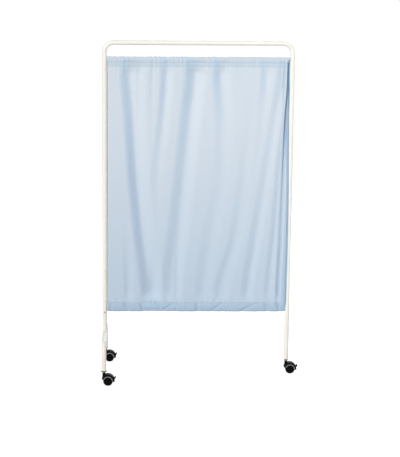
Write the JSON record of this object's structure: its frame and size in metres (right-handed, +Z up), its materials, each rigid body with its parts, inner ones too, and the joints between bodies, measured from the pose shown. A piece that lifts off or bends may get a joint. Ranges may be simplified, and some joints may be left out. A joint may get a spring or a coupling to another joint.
{
  "type": "ward privacy screen on wheels",
  "caption": "One-panel mobile screen: a bent tube frame on a hoop foot and twin-wheel braked casters, with a gathered fabric curtain held between rods.",
  "frame": {"origin": "middle of the footprint's bounding box, on the floor", "axes": "+X across the screen towards the post with one caster, +Y to the back, +Z up"},
  "size_m": [1.055, 0.502, 1.78],
  "materials": {
    "cream_paint": "smooth cream powder coat on steel tube",
    "zinc_steel": "bright zinc plate",
    "dark_steel": "dull dark zinc plate",
    "black_plastic": "moulded black nylon",
    "black_tyre": "black solid tread",
    "white_plastic": "white nylon bush",
    "blue_cloth": "pale blue woven polyester-cotton curtain"
  },
  "bodies": {
    "frame": {"frame_tube": "cream_paint", "foot_hoop": "cream_paint", "foot_spigot": "zinc_steel", "spigot_screw": "dark_steel", "top_rod": "zinc_steel", "top_left_rod_bush": "white_plastic", "top_right_rod_bush": "white_plastic", "bottom_rod": "zinc_steel", "bottom_left_rod_bush": "white_plastic", "bottom_right_rod_bush": "white_plastic", "curtain": "blue_cloth", "front_tube_insert": "black_plastic", "front_washer": "dark_steel", "front_stem_nut": "dark_steel", "front_stem": "zinc_steel", "front_grip_ring": "zinc_steel", "rear_tube_insert": "black_plastic", "rear_washer": "dark_steel", "rear_stem_nut": "dark_steel", "rear_stem": "zinc_steel", "rear_grip_ring": "zinc_steel", "right_tube_insert": "black_plastic", "right_washer": "dark_steel", "right_stem_nut": "dark_steel", "right_stem": "zinc_steel", "right_grip_ring": "zinc_steel"},
    "front_caster": {"front_caster_body": "black_plastic", "front_axle": "zinc_steel", "front_pedal_pin": "zinc_steel"},
    "front_near_wheel": {"front_near_wheel": "black_plastic", "front_near_tyre": "black_tyre"},
    "front_far_wheel": {"front_far_wheel": "black_plastic", "front_far_tyre": "black_tyre"},
    "front_brake_pedal": {"front_brake_pedal": "black_plastic"},
    "rear_caster": {"rear_caster_body": "black_plastic", "rear_axle": "zinc_steel", "rear_pedal_pin": "zinc_steel"},
    "rear_near_wheel": {"rear_near_wheel": "black_plastic", "rear_near_tyre": "black_tyre"},
    "rear_far_wheel": {"rear_far_wheel": "black_plastic", "rear_far_tyre": "black_tyre"},
    "rear_brake_pedal": {"rear_brake_pedal": "black_plastic"},
    "right_caster": {"right_caster_body": "black_plastic", "right_axle": "zinc_steel", "right_pedal_pin": "zinc_steel"},
    "right_near_wheel": {"right_near_wheel": "black_plastic", "right_near_tyre": "black_tyre"},
    "right_far_wheel": {"right_far_wheel": "black_plastic", "right_far_tyre": "black_tyre"},
    "right_brake_pedal": {"right_brake_pedal": "black_plastic"}
  },
  "joints": [
    {"name": "front_swivel", "type": "hinge", "parent": "frame", "child": "front_caster", "pos_m": [-0.51125, -0.225, 0.065], "axis": [0, 0, 1], "continuous": true},
    {"name": "front_near_wheel_spin", "type": "hinge", "parent": "front_caster", "child": "front_near_wheel", "pos_m": [-0.48975, -0.225, 0.025], "axis": [0, 1, 0], "continuous": true},
    {"name": "front_far_wheel_spin", "type": "hinge", "parent": "front_caster", "child": "front_far_wheel", "pos_m": [-0.48975, -0.225, 0.025], "axis": [0, 1, 0], "continuous": true},
    {"name": "front_brake", "type": "hinge", "parent": "front_caster", "child": "front_brake_pedal", "pos_m": [-0.45943, -0.225, 0.03145], "axis": [0, 1, 0], "range_deg": [0, 14]},
    {"name": "rear_swivel", "type": "hinge", "parent": "frame", "child": "rear_caster", "pos_m": [-0.51125, 0.225, 0.065], "axis": [0, 0, 1], "continuous": true},
    {"name": "rear_near_wheel_spin", "type": "hinge", "parent": "rear_caster", "child": "rear_near_wheel", "pos_m": [-0.48975, 0.225, 0.025], "axis": [0, 1, 0], "continuous": true},
    {"name": "rear_far_wheel_spin", "type": "hinge", "parent": "rear_caster", "child": "rear_far_wheel", "pos_m": [-0.48975, 0.225, 0.025], "axis": [0, 1, 0], "continuous": true},
    {"name": "rear_brake", "type": "hinge", "parent": "rear_caster", "child": "rear_brake_pedal", "pos_m": [-0.45943, 0.225, 0.03145], "axis": [0, 1, 0], "range_deg": [0, 14]},
    {"name": "right_swivel", "type": "hinge", "parent": "frame", "child": "right_caster", "pos_m": [0.46375, 0, 0.065], "axis": [0, 0, 1], "continuous": true},
    {"name": "right_near_wheel_spin", "type": "hinge", "parent": "right_caster", "child": "right_near_wheel", "pos_m": [0.48525, 0, 0.025], "axis": [0, 1, 0], "continuous": true},
    {"name": "right_far_wheel_spin", "type": "hinge", "parent": "right_caster", "child": "right_far_wheel", "pos_m": [0.48525, 0, 0.025], "axis": [0, 1, 0], "continuous": true},
    {"name": "right_brake", "type": "hinge", "parent": "right_caster", "child": "right_brake_pedal", "pos_m": [0.51557, 0, 0.03145], "axis": [0, 1, 0], "range_deg": [0, 14]}
  ]
}
